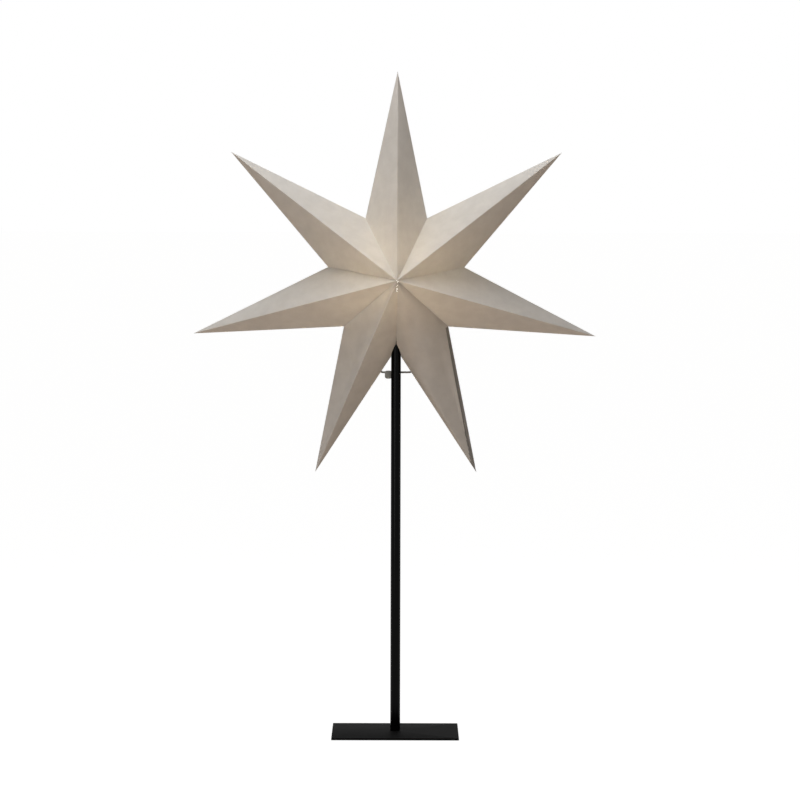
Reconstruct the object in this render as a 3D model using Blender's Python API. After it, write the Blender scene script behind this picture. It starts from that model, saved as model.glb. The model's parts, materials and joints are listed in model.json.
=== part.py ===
"""A folded-paper star lamp: a seven-pointed star on a round pole with a square foot plate.

Metres, +Z up. The origin is on the floor, on the pole's axis. The star's front faces -Y.
"""

import math

import bmesh
import bpy
from mathutils import Matrix, Vector

# Clearances
GAP = 0.0003  # between pieces that touch
PAPER_GAP = 0.0003  # between two glued points of the star

# Star
STAR_CENTRE_HEIGHT = 0.689
TIP_RADIUS = 0.312
VALLEY_RADIUS = 0.1053
HALF_DEPTH = 0.090
SEAM_SPREAD = math.radians(45.0)  # between the two lowest points, drawn together by the tie
PAPER_THICKNESS = 0.0005
APEX_HOLE_RADIUS = 0.0022
GLUE_LAP = 0.006
GLUE_LAP_REACH = 0.80  # share of the valley line that the glue lap follows
POINT_NAMES = ("top", "upper_left", "left", "lower_left", "lower_right", "right", "upper_right")
SEAM_AFTER = 3  # the seam follows this point, counted from the top point

# Closing tie
TIE_BELOW_VALLEY = 0.034
TIE_DIAMETER = 0.0030
TIE_KNOT_DIAMETER = 0.0058
TIE_KNOT_LENGTH = 0.005
TIE_KNOT_SHOULDER = 0.001  # tapered length at each end of the knot
TIE_END_DIAMETER = 0.0018
EYELET_INSET = 0.011  # from the fold at the side of the point to the eyelet's middle
EYELET_BORE = 0.0038
EYELET_WALL = 0.0006
EYELET_FLANGE_DIAMETER = 0.0093
EYELET_FLANGE_THICKNESS = 0.0006
STOP_WIDTH = 0.0110
STOP_HEIGHT = 0.0122
STOP_THICKNESS = 0.0054
STOP_BORE = 0.0038
STOP_CORNER_RADIUS = 0.0036
STOP_ABOVE_TIE = 0.0025
STOP_BEHIND_POLE = 0.0015  # how far the stop reaches in behind the side of the pole
STOP_TRAVEL = 0.004

# Foot plate
PLATE_WIDTH = 0.192
PLATE_DEPTH = 0.192
PLATE_THICKNESS = 0.003
PLATE_CORNER_RADIUS = 0.0008
PLATE_EDGE_RADIUS = 0.0004
PAD_DIAMETER = 0.016
PAD_THICKNESS = 0.0007
PAD_INSET = 0.018  # from the plate's edges to the pad's middle

# Pole and what joins it to the plate
POLE_DIAMETER = 0.015
POLE_WALL = 0.001
POLE_INTO_STAR = 0.0232  # from the bottom valley of the star up to the pole's end
BUSH_LENGTH = 0.015
SCREW_DIAMETER = 0.0056
SCREW_LENGTH = 0.014
SCREW_HEAD_DIAMETER = 0.0106
SCREW_HEAD_HEIGHT = 0.0025

# Cord outlet and the lead inside the pole
OUTLET_HEIGHT = 0.032
OUTLET_BORE = 0.0064
OUTLET_WALL = 0.0009
OUTLET_FLANGE_DIAMETER = 0.0108
OUTLET_FLANGE_THICKNESS = 0.0016
LEAD_DIAMETER = 0.0044
LEAD_BEND_HEIGHT = 0.030
LEAD_LOW_BEND_HEIGHT = 0.010

# Nipple on the pole's top
NIPPLE_DIAMETER = 0.008
NIPPLE_BORE = 0.0056
NIPPLE_ABOVE_NUT = 0.0008
NIPPLE_BELOW_RIM = 0.010
NIPPLE_BUSH_LENGTH = 0.012
NIPPLE_BUSH_FLANGE = 0.002
NUT_ACROSS_FLATS = 0.013
NUT_HEIGHT = 0.0035
NUT_SIDES = 6

# Lampholder
HOLDER_DIAMETER = 0.028
HOLDER_WALL = 0.0016
CAP_HEIGHT = 0.017
CAP_FOOT_DIAMETER = 0.021
CAP_LEDGE_HEIGHT = 0.0085
CAP_LEDGE_WIDTH = 0.0022
BARREL_HEIGHT = 0.029
CORE_HEIGHT = 0.0095
SHELL_WALL = 0.0006
SHELL_HEIGHT = 0.020
CONTACT_STEM_DIAMETER = 0.0024
CONTACT_STEM_LENGTH = 0.006
CONTACT_HEAD_DIAMETER = 0.005
CONTACT_HEAD_HEIGHT = 0.0012
TERMINAL_SPACING = 0.012
TERMINAL_DIAMETER = 0.003
TERMINAL_LENGTH = 0.005
TERMINAL_HEAD_DIAMETER = 0.0048
TERMINAL_HEAD_HEIGHT = 0.0014

# Bulb
BULB_CAP_DIAMETER = 0.0138
BULB_CAP_WALL = 0.0005
BULB_CAP_HEIGHT = 0.018
BULB_TIP_DIAMETER = 0.0046
BULB_TIP_HEIGHT = 0.0013
BULB_INSULATOR_HEIGHT = 0.0028
BULB_INSULATOR_TOP = 0.0104
COLLAR_PLUG_DEPTH = 0.004
COLLAR_FOOT_DIAMETER = 0.0165
COLLAR_HEIGHT = 0.019
COLLAR_DIAMETER = 0.038
BOARD_DIAMETER = 0.029
BOARD_THICKNESS = 0.0015
GLOBE_DIAMETER = 0.045
GLOBE_WALL = 0.0011

# Facets
ROUND = 32
SMALL_ROUND = 20
GLOBE_ARC_STEPS = 12
CORNER_STEPS = 3
EDGE_STEPS = 2
CORD_STEPS = 2
SHARP_ANGLE = math.radians(35.0)  # edges that turn by more than this stay crisp
SOFT_EDGE_ANGLE = math.radians(60.0)  # edges that turn by more than this are rounded
DOWNWARD = math.radians(270.0)
CUT_MARGIN = 0.002  # how far a cutter passes the material it cuts

# Heights that follow from the sizes above
PLATE_BOTTOM = PAD_THICKNESS + GAP
PLATE_TOP = PLATE_BOTTOM + PLATE_THICKNESS
POLE_FOOT = PLATE_TOP + GAP
VALLEY_HEIGHT = STAR_CENTRE_HEIGHT - VALLEY_RADIUS
POLE_TOP = VALLEY_HEIGHT + POLE_INTO_STAR
POLE_LENGTH = POLE_TOP - POLE_FOOT
POLE_RADIUS = POLE_DIAMETER / 2
POLE_BORE_RADIUS = POLE_RADIUS - POLE_WALL
NIPPLE_BUSH_TOP = POLE_TOP + GAP + NIPPLE_BUSH_FLANGE
CAP_FOOT = NIPPLE_BUSH_TOP + GAP
CAP_TOP = CAP_FOOT + CAP_HEIGHT
NUT_FOOT = CAP_FOOT + HOLDER_WALL + GAP
NIPPLE_FOOT = POLE_TOP - NIPPLE_BELOW_RIM
NIPPLE_LENGTH = NUT_FOOT + NUT_HEIGHT + NIPPLE_ABOVE_NUT - NIPPLE_FOOT
NUT_CORNER_RADIUS = NUT_ACROSS_FLATS / 2 / math.cos(math.pi / NUT_SIDES)
CORE_FOOT = CAP_FOOT + CAP_LEDGE_HEIGHT + GAP
CORE_TOP = CORE_FOOT + CORE_HEIGHT
BARREL_FOOT = CAP_TOP + GAP
SHELL_FOOT = CORE_TOP + GAP
CONTACT_TOP = CORE_TOP + GAP + CONTACT_HEAD_HEIGHT
BULB_TIP_FOOT = CONTACT_TOP + GAP
INSULATOR_FOOT = BULB_TIP_FOOT + BULB_TIP_HEIGHT + GAP
BULB_CAP_FOOT = INSULATOR_FOOT + BULB_INSULATOR_HEIGHT + GAP
BULB_CAP_TOP = BULB_CAP_FOOT + BULB_CAP_HEIGHT
COLLAR_FOOT = BULB_CAP_TOP + GAP
COLLAR_TOP = COLLAR_FOOT + COLLAR_HEIGHT
TIE_HEIGHT = VALLEY_HEIGHT - TIE_BELOW_VALLEY
TIE_DEPTH = POLE_RADIUS + GAP + TIE_DIAMETER / 2
POLE_HOLE_LENGTH = VALLEY_RADIUS
STOP_REACH = POLE_RADIUS - STOP_BEHIND_POLE + STOP_WIDTH + STOP_TRAVEL


def clear_scene():
    for obj in list(bpy.data.objects):
        bpy.data.objects.remove(obj)


def material(name, colour, roughness, metallic=0.0):
    made = bpy.data.materials.new(name)
    made.use_nodes = True
    shader = made.node_tree.nodes["Principled BSDF"]
    shader.inputs["Base Color"].default_value = (*colour, 1.0)
    shader.inputs["Roughness"].default_value = roughness
    shader.inputs["Metallic"].default_value = metallic
    return made


def empty(name, location):
    made = bpy.data.objects.new(name, None)
    made.location = location
    bpy.context.scene.collection.objects.link(made)
    return made


def add_object(name, data, look, location=(0, 0, 0), parent=None):
    """A named object; its location is in the frame of the parent."""
    made = bpy.data.objects.new(name, data)
    made.location = location
    made.parent = parent
    made.data.materials.append(look)
    bpy.context.scene.collection.objects.link(made)
    return made


def mesh_from(name, shape, smooth=True):
    bmesh.ops.recalc_face_normals(shape, faces=shape.faces)
    data = bpy.data.meshes.new(name)
    shape.to_mesh(data)
    shape.free()
    if smooth:
        data.shade_smooth()
        data.set_sharp_from_angle(angle=SHARP_ANGLE)
    return data


def turned_mesh(name, profile, sides=ROUND):
    """A closed profile of (radius, height) points turned about Z."""
    shape = bmesh.new()
    rings = []
    for radius, height in profile:
        if radius == 0:
            rings.append([shape.verts.new((0, 0, height))] * sides)
            continue
        angles = [2 * math.pi * side / sides for side in range(sides)]
        rings.append([
            shape.verts.new((radius * math.cos(a), radius * math.sin(a), height)) for a in angles
        ])
    for ring, following in zip(rings, rings[1:] + rings[:1]):
        for side in range(sides):
            onward = (side + 1) % sides
            corners = [ring[side], ring[onward], following[onward], following[side]]
            distinct = list(dict.fromkeys(corners))
            if len(distinct) > 2:
                shape.faces.new(distinct)
    return mesh_from(name, shape)


def turned(name, profile, look, height, parent=None, sides=ROUND):
    return add_object(name, turned_mesh(name, profile, sides), look, (0, 0, height), parent)


def tube_profile(outer, bore, height):
    return [(outer, height), (bore, height), (bore, 0), (outer, 0)]


def rod_profile(radius, height):
    return [(0, height), (0, 0), (radius, 0), (radius, height)]


def cutter(name, data, location=(0, 0, 0), parent=None):
    made = bpy.data.objects.new(name, data)
    made.location = location
    made.parent = parent
    made.hide_render = True
    made.display_type = "WIRE"
    bpy.context.scene.collection.objects.link(made)
    return made


def cut(target, tool):
    modifier = target.modifiers.new("cut_" + tool.name, "BOOLEAN")
    modifier.operation = "DIFFERENCE"
    modifier.solver = "EXACT"
    modifier.object = tool


def rounded_outline(width, depth, radius, steps):
    """Corner points of a rectangle with round corners, anticlockwise."""
    corners = []
    for quarter, (along, across) in enumerate(((1, 1), (-1, 1), (-1, -1), (1, -1))):
        middle = Vector((along * (width / 2 - radius), across * (depth / 2 - radius)))
        for step in range(steps + 1):
            angle = math.pi / 2 * (quarter + step / steps)
            corners.append(middle + radius * Vector((math.cos(angle), math.sin(angle))))
    return corners


def slab_mesh(name, outline, thickness):
    """A flat outline raised to a plate."""
    shape = bmesh.new()
    base = shape.faces.new([shape.verts.new((x, y, 0)) for x, y in outline])
    raised = bmesh.ops.extrude_face_region(shape, geom=[base])
    moved = [item for item in raised["geom"] if isinstance(item, bmesh.types.BMVert)]
    bmesh.ops.translate(shape, verts=moved, vec=(0, 0, thickness))
    return mesh_from(name, shape)


def soften_edges(obj, width):
    modifier = obj.modifiers.new("soft_edges", "BEVEL")
    modifier.width = width
    modifier.segments = EDGE_STEPS
    modifier.limit_method = "ANGLE"
    modifier.angle_limit = SOFT_EDGE_ANGLE


def make_foot(black, rubber, steel):
    outline = rounded_outline(PLATE_WIDTH, PLATE_DEPTH, PLATE_CORNER_RADIUS, CORNER_STEPS)
    plate = add_object(
        "base_plate", slab_mesh("base_plate", outline, PLATE_THICKNESS), black, (0, 0, PLATE_BOTTOM)
    )
    soften_edges(plate, PLATE_EDGE_RADIUS)
    head = SCREW_HEAD_DIAMETER / 2
    stem = SCREW_DIAMETER / 2
    sink = [
        (0, PLATE_THICKNESS + CUT_MARGIN),
        (0, -CUT_MARGIN),
        (head + GAP, -CUT_MARGIN),
        (head + GAP, GAP),
        (stem + GAP, SCREW_HEAD_HEIGHT + GAP),
        (stem + GAP, PLATE_THICKNESS + CUT_MARGIN),
    ]
    cut(plate, cutter("screw_sink", turned_mesh("screw_sink", sink), (0, 0, PLATE_BOTTOM)))
    screw = [
        (0, SCREW_LENGTH),
        (0, GAP),
        (head, GAP),
        (stem, SCREW_HEAD_HEIGHT),
        (stem, SCREW_LENGTH),
    ]
    turned("base_screw", screw, steel, PLATE_BOTTOM)
    pad_mesh = turned_mesh("foot_pad", rod_profile(PAD_DIAMETER / 2, PAD_THICKNESS))
    pad_mesh.materials.append(rubber)
    sides = ((-1, -1), (1, -1), (1, 1), (-1, 1))
    for number, (along, across) in enumerate(sides, start=1):
        place = (along * (PLATE_WIDTH / 2 - PAD_INSET), across * (PLATE_DEPTH / 2 - PAD_INSET), 0)
        pad = bpy.data.objects.new(f"foot_pad_{number}", pad_mesh)
        pad.location = place
        bpy.context.scene.collection.objects.link(pad)


def make_pole(black, steel, rubber, plastic):
    pole = turned(
        "pole_tube", tube_profile(POLE_RADIUS, POLE_BORE_RADIUS, POLE_LENGTH), black, POLE_FOOT
    )
    outlet_neck = OUTLET_BORE / 2 + OUTLET_WALL
    drill = turned_mesh("outlet_drill", rod_profile(outlet_neck + GAP, POLE_DIAMETER), SMALL_ROUND)
    drill.transform(Matrix.Rotation(-math.pi / 2, 4, "X"))
    cut(pole, cutter("outlet_drill", drill, (0, 0, OUTLET_HEIGHT)))
    bush_radius = POLE_BORE_RADIUS - GAP
    bush = tube_profile(bush_radius, SCREW_DIAMETER / 2 + GAP, BUSH_LENGTH)
    turned("pole_bush", bush, steel, POLE_FOOT)
    flange = OUTLET_FLANGE_DIAMETER / 2
    neck_inner = POLE_BORE_RADIUS - POLE_WALL
    grommet = [
        (flange, POLE_RADIUS + GAP + OUTLET_FLANGE_THICKNESS),
        (OUTLET_BORE / 2, POLE_RADIUS + GAP + OUTLET_FLANGE_THICKNESS),
        (OUTLET_BORE / 2, neck_inner),
        (outlet_neck, neck_inner),
        (outlet_neck, POLE_RADIUS + GAP),
        (flange, POLE_RADIUS + GAP),
    ]
    data = turned_mesh("cord_grommet", grommet, SMALL_ROUND)
    data.transform(Matrix.Rotation(-math.pi / 2, 4, "X"))
    add_object("cord_grommet", data, rubber, (0, 0, OUTLET_HEIGHT))
    make_lead(plastic)


def make_lead(plastic):
    """The lamp's lead inside the pole, from the lampholder down to the cord outlet."""
    bend = OUTLET_HEIGHT + LEAD_BEND_HEIGHT
    side = POLE_BORE_RADIUS - POLE_WALL - GAP - LEAD_DIAMETER / 2
    route = [
        (0, 0, CORE_FOOT - TERMINAL_HEAD_HEIGHT - GAP),
        (0, 0, POLE_TOP),
        (0, 0, (POLE_TOP + bend) / 2),
        (0, 0, bend),
        (0, side / 2, OUTLET_HEIGHT + LEAD_LOW_BEND_HEIGHT),
        (0, side, OUTLET_HEIGHT),
    ]
    add_object("inner_lead", cord_curve("inner_lead", route, LEAD_DIAMETER), plastic)


def cord_curve(name, route, diameter, swell=None):
    """A round cord along a route; swell gives each point's own share of the diameter."""
    data = bpy.data.curves.new(name, "CURVE")
    data.dimensions = "3D"
    data.bevel_depth = diameter / 2
    data.bevel_resolution = CORD_STEPS
    data.use_fill_caps = True
    spline = data.splines.new("POLY")
    spline.points.add(len(route) - 1)
    for number, (point, place) in enumerate(zip(spline.points, route)):
        point.co = (*place, 1)
        if swell:
            point.radius = swell[number]
    return data


def make_nipple(steel):
    bush = [
        (POLE_RADIUS, NIPPLE_BUSH_FLANGE),
        (NIPPLE_DIAMETER / 2 + GAP, NIPPLE_BUSH_FLANGE),
        (NIPPLE_DIAMETER / 2 + GAP, -NIPPLE_BUSH_LENGTH),
        (POLE_BORE_RADIUS - GAP, -NIPPLE_BUSH_LENGTH),
        (POLE_BORE_RADIUS - GAP, 0),
        (POLE_RADIUS, 0),
    ]
    turned("nipple_bush", bush, steel, POLE_TOP + GAP)
    nipple = tube_profile(NIPPLE_DIAMETER / 2, NIPPLE_BORE / 2, NIPPLE_LENGTH)
    turned("nipple", nipple, steel, NIPPLE_FOOT)
    nut = turned_mesh("lock_nut", rod_profile(NUT_CORNER_RADIUS, NUT_HEIGHT), NUT_SIDES)
    nut_bore = rod_profile(NIPPLE_DIAMETER / 2 + GAP, NUT_HEIGHT + 2 * CUT_MARGIN)
    nut_object = add_object("lock_nut", nut, steel, (0, 0, NUT_FOOT))
    cut(nut_object, cutter("nut_bore", turned_mesh("nut_bore", nut_bore), (0, 0, NUT_FOOT - CUT_MARGIN)))


def make_holder(plastic, ceramic, brass, bulb_axis):
    outer = HOLDER_DIAMETER / 2
    inner = outer - HOLDER_WALL
    ledge = inner - CAP_LEDGE_WIDTH
    cap = [
        (outer, CAP_HEIGHT),
        (inner, CAP_HEIGHT),
        (inner, CAP_LEDGE_HEIGHT),
        (ledge, CAP_LEDGE_HEIGHT),
        (ledge, HOLDER_WALL),
        (NIPPLE_DIAMETER / 2 + GAP, HOLDER_WALL),
        (NIPPLE_DIAMETER / 2 + GAP, 0),
        (CAP_FOOT_DIAMETER / 2, 0),
        (outer, CAP_LEDGE_HEIGHT),
    ]
    turned("holder_cap", cap, plastic, CAP_FOOT)
    turned("holder_barrel", tube_profile(outer, inner, BARREL_HEIGHT), plastic, BARREL_FOOT)
    core_profile = tube_profile(inner - GAP, CONTACT_STEM_DIAMETER / 2 + GAP, CORE_HEIGHT)
    core = turned("holder_core", core_profile, ceramic, CORE_FOOT)
    drill = turned_mesh(
        "terminal_drill",
        rod_profile(TERMINAL_DIAMETER / 2 + GAP, TERMINAL_LENGTH + GAP + CUT_MARGIN),
        SMALL_ROUND,
    )
    head = TERMINAL_HEAD_DIAMETER / 2
    stem = TERMINAL_DIAMETER / 2
    screw = [
        (0, TERMINAL_LENGTH),
        (0, -TERMINAL_HEAD_HEIGHT - GAP),
        (head, -TERMINAL_HEAD_HEIGHT - GAP),
        (head, -GAP),
        (stem, -GAP),
        (stem, TERMINAL_LENGTH),
    ]
    for number, side in enumerate((-1, 1), start=1):
        across = side * TERMINAL_SPACING / 2
        place = (across, 0, CORE_FOOT - CUT_MARGIN)
        cut(core, cutter(f"terminal_drill_{number}", drill, place))
        data = turned_mesh(f"terminal_screw_{number}", screw, SMALL_ROUND)
        add_object(f"terminal_screw_{number}", data, brass, (across, 0, CORE_FOOT))
    shell_bore = BULB_CAP_DIAMETER / 2 + GAP
    shell = tube_profile(shell_bore + SHELL_WALL, shell_bore, SHELL_HEIGHT)
    turned("holder_shell", shell, brass, SHELL_FOOT)
    contact = [
        (0, CONTACT_HEAD_HEIGHT),
        (0, -CONTACT_STEM_LENGTH),
        (CONTACT_STEM_DIAMETER / 2, -CONTACT_STEM_LENGTH),
        (CONTACT_STEM_DIAMETER / 2, 0),
        (CONTACT_HEAD_DIAMETER / 2, 0),
        (CONTACT_HEAD_DIAMETER / 2, CONTACT_HEAD_HEIGHT),
    ]
    turned("centre_contact", contact, brass, CORE_TOP + GAP - SHELL_FOOT, bulb_axis, SMALL_ROUND)


def make_bulb(bulb_axis, nickel, black, white, aluminium, opal):
    tip = rod_profile(BULB_TIP_DIAMETER / 2, BULB_TIP_HEIGHT)
    turned("bulb_tip", tip, nickel, BULB_TIP_FOOT - SHELL_FOOT, bulb_axis, SMALL_ROUND)
    insulator = [
        (0, BULB_INSULATOR_HEIGHT),
        (0, 0),
        (BULB_TIP_DIAMETER / 2, 0),
        (BULB_INSULATOR_TOP / 2, BULB_INSULATOR_HEIGHT),
    ]
    turned("bulb_insulator", insulator, black, INSULATOR_FOOT - SHELL_FOOT, bulb_axis)
    cap_outer = BULB_CAP_DIAMETER / 2
    cap_inner = cap_outer - BULB_CAP_WALL
    cap = [
        (cap_outer, BULB_CAP_HEIGHT),
        (cap_inner, BULB_CAP_HEIGHT),
        (cap_inner, BULB_CAP_WALL),
        (BULB_TIP_DIAMETER / 2, BULB_CAP_WALL),
        (BULB_TIP_DIAMETER / 2, 0),
        (cap_outer, 0),
    ]
    turned("bulb_cap", cap, nickel, BULB_CAP_FOOT - SHELL_FOOT, bulb_axis)
    collar = [
        (0, COLLAR_HEIGHT),
        (0, -COLLAR_PLUG_DEPTH),
        (cap_inner - GAP, -COLLAR_PLUG_DEPTH),
        (cap_inner - GAP, 0),
        (COLLAR_FOOT_DIAMETER / 2, 0),
        (COLLAR_DIAMETER / 2, COLLAR_HEIGHT),
    ]
    turned("bulb_collar", collar, white, COLLAR_FOOT - SHELL_FOOT, bulb_axis)
    board = rod_profile(BOARD_DIAMETER / 2, BOARD_THICKNESS)
    turned("led_board", board, aluminium, COLLAR_TOP + GAP - SHELL_FOOT, bulb_axis)
    turned("bulb_globe", globe_profile(), opal, COLLAR_TOP + GAP - SHELL_FOOT, bulb_axis)


def globe_profile():
    """A round globe cut level at its foot, where it stands on the collar's rim."""
    radius = GLOBE_DIAMETER / 2
    inside = radius - GLOBE_WALL
    foot_angle = -math.acos(COLLAR_DIAMETER / 2 / radius)
    middle = -radius * math.sin(foot_angle)
    inner_angle = math.asin(-middle / inside)
    outer_arc = arc_points(radius, foot_angle, middle)
    inner_arc = arc_points(inside, inner_angle, middle)
    return outer_arc + inner_arc[::-1]


def arc_points(radius, start, middle):
    """Points from the foot of the globe up to its top on the axis."""
    points = []
    for step in range(GLOBE_ARC_STEPS):
        angle = start + (math.pi / 2 - start) * step / GLOBE_ARC_STEPS
        points.append((radius * math.cos(angle), middle + radius * math.sin(angle)))
    points.append((0, middle + radius))
    return points


def radial(angle, radius, depth=0.0):
    """A point of the star's own frame, by its direction seen from the front."""
    return Vector((radius * math.cos(angle), depth, radius * math.sin(angle)))


def point_directions():
    """Directions of the seven points, evenly spread apart from the narrow seam."""
    spacing = (2 * math.pi - SEAM_SPREAD) / (len(POINT_NAMES) - 1)
    directions = []
    angle = math.pi / 2
    for number in range(len(POINT_NAMES)):
        directions.append(angle)
        angle += SEAM_SPREAD if number == SEAM_AFTER else spacing
    return directions


def valley_line(angle, inward, depth_sign):
    """(near apex, valley end, lap corner at the end, lap corner near the apex) on one glued edge."""
    shift = inward * PAPER_GAP / 2
    apex = Vector((0, depth_sign * HALF_DEPTH, 0))
    end = radial(angle, VALLEY_RADIUS)
    along = apex - end
    slope = math.atan2(HALF_DEPTH, VALLEY_RADIUS)
    near = end + along * (1 - APEX_HOLE_RADIUS / VALLEY_RADIUS)
    lap_end = radial(angle, VALLEY_RADIUS - GLUE_LAP / math.sin(slope))
    lap_near = lap_end + along * GLUE_LAP_REACH
    return [place + shift for place in (near, end, lap_end, lap_near)]


def point_mesh(name, tip_angle, edge_angles, laps):
    """A folded point, open towards the middle of the star, as an outer sheet with its glue laps."""
    shape = bmesh.new()
    tip = shape.verts.new(radial(tip_angle, TIP_RADIUS))
    ends = []
    lap_ends = []
    for edge_angle, has_lap in zip(edge_angles, laps):
        turn = 1 if edge_angle < tip_angle else -1
        inward = turn * radial(edge_angle + math.pi / 2, 1.0)
        line = valley_line(edge_angle, inward, 1)
        ends.append(shape.verts.new(line[1]))
        lap_ends.append(shape.verts.new(line[2]) if has_lap else None)
    for depth_sign in (-1, 1):
        apex = Vector((0, depth_sign * HALF_DEPTH, 0))
        ridge = apex + (tip.co - apex) * (APEX_HOLE_RADIUS / TIP_RADIUS)
        ridge_vert = shape.verts.new(ridge)
        for number, (edge_angle, has_lap) in enumerate(zip(edge_angles, laps)):
            turn = 1 if edge_angle < tip_angle else -1
            inward = turn * radial(edge_angle + math.pi / 2, 1.0)
            near, _, _, lap_near = valley_line(edge_angle, inward, depth_sign)
            near_vert = shape.verts.new(near)
            corners = [ridge_vert, tip, ends[number], near_vert]
            outward = (corners[1].co - corners[0].co).cross(corners[2].co - corners[1].co)
            if outward.y * depth_sign < 0:
                corners.reverse()
            shape.faces.new(corners)
            if has_lap:
                lap_vert = shape.verts.new(lap_near)
                lap = [near_vert, ends[number], lap_ends[number], lap_vert]
                facing = (lap[1].co - lap[0].co).cross(lap[2].co - lap[1].co)
                if facing.dot(inward) > 0:
                    lap.reverse()
                shape.faces.new(lap)
    data = bpy.data.meshes.new(name)
    shape.to_mesh(data)
    shape.free()
    return data


def eyelet_frame(directions, side):
    """Place and outward normal of a tie eyelet, on the back of a lowest point; side is -1 or 1."""
    tip_angle = directions[SEAM_AFTER] if side < 0 else directions[SEAM_AFTER + 1]
    tip = radial(tip_angle, TIP_RADIUS)
    valley = radial(DOWNWARD, VALLEY_RADIUS)
    apex = Vector((0, HALF_DEPTH, 0))
    normal = (tip - valley).cross(apex - valley).normalized()
    if normal.y < 0:
        normal.negate()
    fold = (tip - valley).normalized()
    on_fold = valley + fold * (TIE_BELOW_VALLEY / -fold.z)
    across = normal.cross(fold)
    if across.x * side < 0:
        across.negate()
    return on_fold + across * EYELET_INSET, normal


def frame_along(place, normal):
    """A matrix that carries +Z to the normal and the origin to the place."""
    return Matrix.Translation(place) @ normal.to_track_quat("Z", "Y").to_matrix().to_4x4()


def make_star(paper, brass, cord_look, plastic):
    star_axis = empty("star_axis", (0, 0, STAR_CENTRE_HEIGHT))
    directions = point_directions()
    count = len(POINT_NAMES)
    edges = [
        (directions[n] + (SEAM_SPREAD if n == SEAM_AFTER else directions[1] - directions[0]) / 2)
        for n in range(count)
    ]
    pole_hole = cutter(
        "pole_hole",
        turned_mesh("pole_hole", rod_profile(POLE_RADIUS + GAP, POLE_HOLE_LENGTH)),
        (0, 0, -VALLEY_RADIUS - POLE_HOLE_LENGTH / 2),
        star_axis,
    )
    points = []
    for number, point_name in enumerate(POINT_NAMES):
        before = edges[number - 1] - (2 * math.pi if number == 0 else 0)
        laps = (number != SEAM_AFTER + 1, number != SEAM_AFTER)
        name = "star_point_" + point_name
        data = point_mesh(name, directions[number], (before, edges[number]), laps)
        point = add_object(name, data, paper, parent=star_axis)
        sheet = point.modifiers.new("paper", "SOLIDIFY")
        sheet.thickness = PAPER_THICKNESS
        sheet.offset = -1
        sheet.use_even_offset = True
        points.append(point)
    for side in (-1, 1):
        point = points[SEAM_AFTER if side < 0 else SEAM_AFTER + 1]
        cut(point, pole_hole)
        make_eyelet(point, directions, side, brass, star_axis)
    make_tie(directions, cord_look, plastic, star_axis)


def make_eyelet(point, directions, side, brass, star_axis):
    word = "left" if side < 0 else "right"
    place, normal = eyelet_frame(directions, side)
    neck = EYELET_BORE / 2 + EYELET_WALL
    hole = turned_mesh(
        f"eyelet_hole_{word}", rod_profile(neck + GAP, 2 * CUT_MARGIN), SMALL_ROUND
    )
    hole.transform(frame_along(place - normal * CUT_MARGIN, normal))
    cut(point, cutter(f"eyelet_hole_{word}", hole, parent=star_axis))
    flange = EYELET_FLANGE_DIAMETER / 2
    under = -PAPER_THICKNESS - GAP
    eyelet = [
        (flange, GAP + EYELET_FLANGE_THICKNESS),
        (EYELET_BORE / 2, GAP + EYELET_FLANGE_THICKNESS),
        (EYELET_BORE / 2, under - EYELET_FLANGE_THICKNESS),
        (flange, under - EYELET_FLANGE_THICKNESS),
        (flange, under),
        (neck, under),
        (neck, GAP),
        (flange, GAP),
    ]
    data = turned_mesh(f"eyelet_{word}", eyelet, SMALL_ROUND)
    data.transform(frame_along(place, normal))
    add_object(f"eyelet_{word}", data, brass, parent=star_axis)


def make_tie(directions, cord_look, plastic, star_axis):
    """The cord that closes the seam behind the pole, knotted inside both lowest points, with its stop."""
    right, normal = eyelet_frame(directions, 1)
    knot_share = TIE_KNOT_DIAMETER / TIE_DIAMETER
    inside = PAPER_THICKNESS + EYELET_FLANGE_THICKNESS + 2 * GAP
    level = -(STAR_CENTRE_HEIGHT - TIE_HEIGHT)
    half = [
        (Vector((0, TIE_DEPTH, level)), 1.0),
        (Vector((POLE_RADIUS, TIE_DEPTH, level)), 1.0),
        (Vector((STOP_REACH, TIE_DEPTH, level)), 1.0),
        (right + normal * (TIE_DIAMETER + EYELET_FLANGE_THICKNESS), 1.0),
        (right, 1.0),
        (right - normal * inside, 1.0),
        (right - normal * (inside + TIE_KNOT_SHOULDER), knot_share),
        (right - normal * (inside + TIE_KNOT_LENGTH - TIE_KNOT_SHOULDER), knot_share),
        (right - normal * (inside + TIE_KNOT_LENGTH), TIE_END_DIAMETER / TIE_DIAMETER),
    ]
    left_half = [(Vector((-place.x, place.y, place.z)), share) for place, share in half[:0:-1]]
    whole = left_half + half
    curve = cord_curve(
        "closing_cord", [place for place, _ in whole], TIE_DIAMETER, [share for _, share in whole]
    )
    add_object("closing_cord", curve, cord_look, parent=star_axis)
    outline = rounded_outline(STOP_WIDTH, STOP_HEIGHT, STOP_CORNER_RADIUS, CORNER_STEPS)
    data = slab_mesh("cord_stop", outline, STOP_THICKNESS)
    data.transform(Matrix.Rotation(math.pi / 2, 4, "X"))
    place = (
        STOP_BEHIND_POLE - POLE_RADIUS - STOP_WIDTH / 2,
        TIE_DEPTH + STOP_THICKNESS / 2,
        level + STOP_ABOVE_TIE - STOP_HEIGHT / 2,
    )
    stop = add_object("cord_stop", data, plastic, place, star_axis)
    drill = turned_mesh("stop_drill", rod_profile(STOP_BORE / 2, 2 * STOP_WIDTH), SMALL_ROUND)
    drill.transform(Matrix.Rotation(math.pi / 2, 4, "Y"))
    cut(stop, cutter("stop_drill", drill, (place[0] - STOP_WIDTH, TIE_DEPTH, level), star_axis))


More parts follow.
